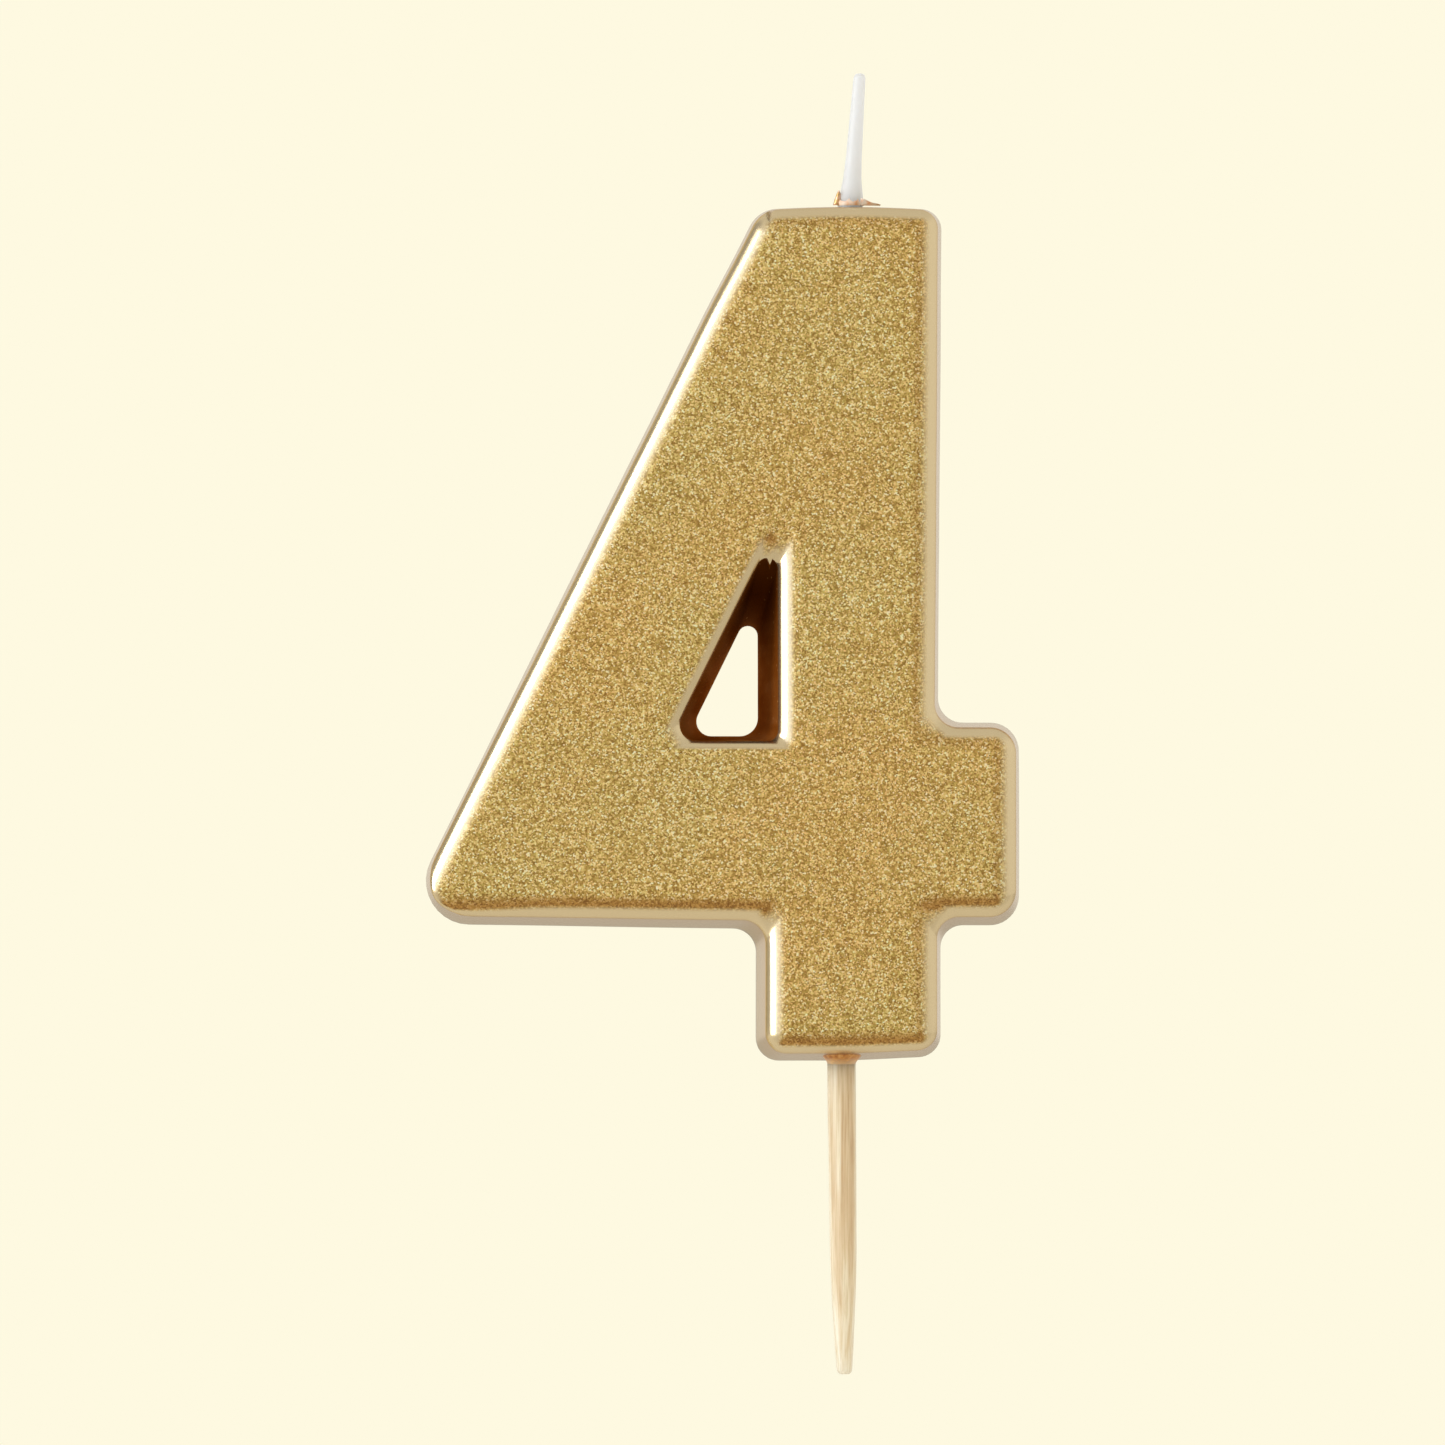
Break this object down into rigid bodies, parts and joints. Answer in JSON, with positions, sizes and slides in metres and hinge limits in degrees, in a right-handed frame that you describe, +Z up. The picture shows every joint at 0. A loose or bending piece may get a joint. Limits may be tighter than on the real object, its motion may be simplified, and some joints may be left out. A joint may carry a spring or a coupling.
{
  "type": "number birthday candle",
  "caption": "Wax birthday candle moulded as the numeral four under gold lacquer, with a waxed cotton wick on top and a pointed wooden pick below.",
  "frame": {"origin": "on the pick's axis, level with the numeral's lowest edge and halfway through its thickness, where the pick goes into a cake", "axes": "+Z up the numeral to the wick, +X to the reader's right, -Y out of the numeral's face, +Y out of its flat back"},
  "size_m": [0.0487, 0.01, 0.1061],
  "materials": {
    "core_wax": "smooth moulded paraffin wax",
    "gold_coat": "satin metallic gold lacquer with a fine sparkling grain",
    "wick_wax": "smooth white wax film",
    "cotton": "twisted cotton strand",
    "pick_wood": "bare pale wood, lengthwise grain"
  },
  "bodies": {
    "root": {"wax_numeral": "core_wax", "gold_lacquer": "gold_coat", "lacquer_crest": "gold_coat", "lacquer_bead": "gold_coat", "wick_wax_coat": "wick_wax", "wick_ply_1": "cotton", "wick_ply_2": "cotton", "wick_ply_3": "cotton", "wooden_pick": "pick_wood"}
  },
  "joints": []
}
